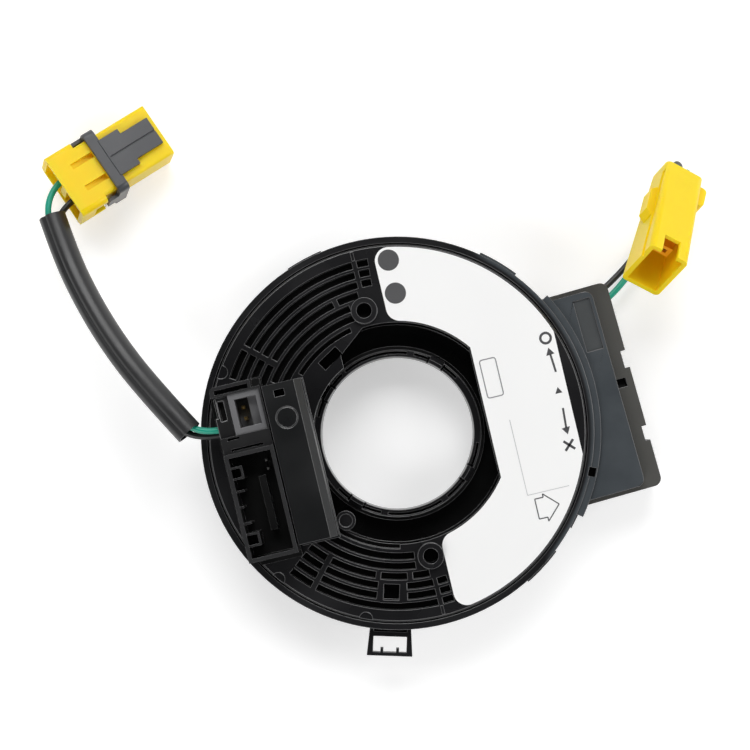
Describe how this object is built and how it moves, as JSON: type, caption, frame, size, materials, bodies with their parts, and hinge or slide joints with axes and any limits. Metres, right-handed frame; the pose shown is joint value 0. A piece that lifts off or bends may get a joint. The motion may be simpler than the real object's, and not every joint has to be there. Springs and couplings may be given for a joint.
{
  "type": "steering clock spring",
  "caption": "Round steering clock spring: a grooved turning plate in a ringed case with a side box, an upright connector block and two yellow airbag plugs on short leads.",
  "frame": {"origin": "bore axis in the plane of the back face", "axes": "+Z along the bore axis towards the driver, +X towards the fixed side box"},
  "size_m": [0.1755, 0.1604, 0.0369],
  "materials": {
    "black_case": "fine moulded texture",
    "black_rotor": "satin moulded",
    "clear_sheet": "smooth film",
    "ribbon": "smooth film",
    "grey_plastic": "satin moulded",
    "yellow_plastic": "satin moulded",
    "orange_plastic": "satin moulded",
    "paper_label": "smooth",
    "steel": "bright",
    "gold_contact": "bright",
    "green_wire": "smooth insulation",
    "black_wire": "smooth insulation",
    "black_tube": "satin vinyl"
  },
  "bodies": {
    "stator": {"stator_case": "black_case", "base_cover": "black_case", "slide_sheet": "clear_sheet", "outer_anchor": "black_case", "box_floor": "black_case", "column_pins": "steel", "flat_ribbon": "ribbon", "right_green_wire": "green_wire", "right_black_wire": "black_wire", "right_plug": "yellow_plastic", "right_plug_carrier": "orange_plastic", "right_plug_contacts": "gold_contact"},
    "rotor": {"rotor_plate": "black_rotor", "rotor_sleeve": "black_rotor", "inner_anchor": "black_rotor", "connector_block": "black_rotor", "block_cover": "black_case", "switch_pins": "steel", "airbag_collar": "grey_plastic", "airbag_pins": "gold_contact", "lead_holder": "black_rotor", "label": "paper_label", "rotor_green_wire": "green_wire", "rotor_black_wire": "black_wire", "lead_tube": "black_tube", "plug_green_wire": "green_wire", "plug_black_wire": "black_wire", "left_plug": "yellow_plastic", "left_plug_contacts": "gold_contact", "shorting_clip": "steel", "lock_spring_left": "steel", "lock_spring_right": "steel"},
    "lock": {"lock_sleeve": "grey_plastic"}
  },
  "joints": [
    {"name": "rotor_turn", "type": "hinge", "parent": "stator", "child": "rotor", "pos_m": [0, 0, 0], "axis": [0, 0, 1], "range_deg": [-900, 900], "deforming": ["flat_ribbon", "lead_tube", "rotor_green_wire", "rotor_black_wire", "plug_green_wire", "plug_black_wire", "right_green_wire", "right_black_wire", "right_plug", "right_plug_carrier", "right_plug_contacts"]},
    {"name": "lock_slide", "type": "slide", "parent": "rotor", "child": "lock", "axis": [-0.9018, -0.3462, 0.2588], "range_m": [0, 0.0032], "stiffness_N_per_m": 300, "springref_m": -0.003, "deforming": ["lock_spring_left", "lock_spring_right"]}
  ]
}
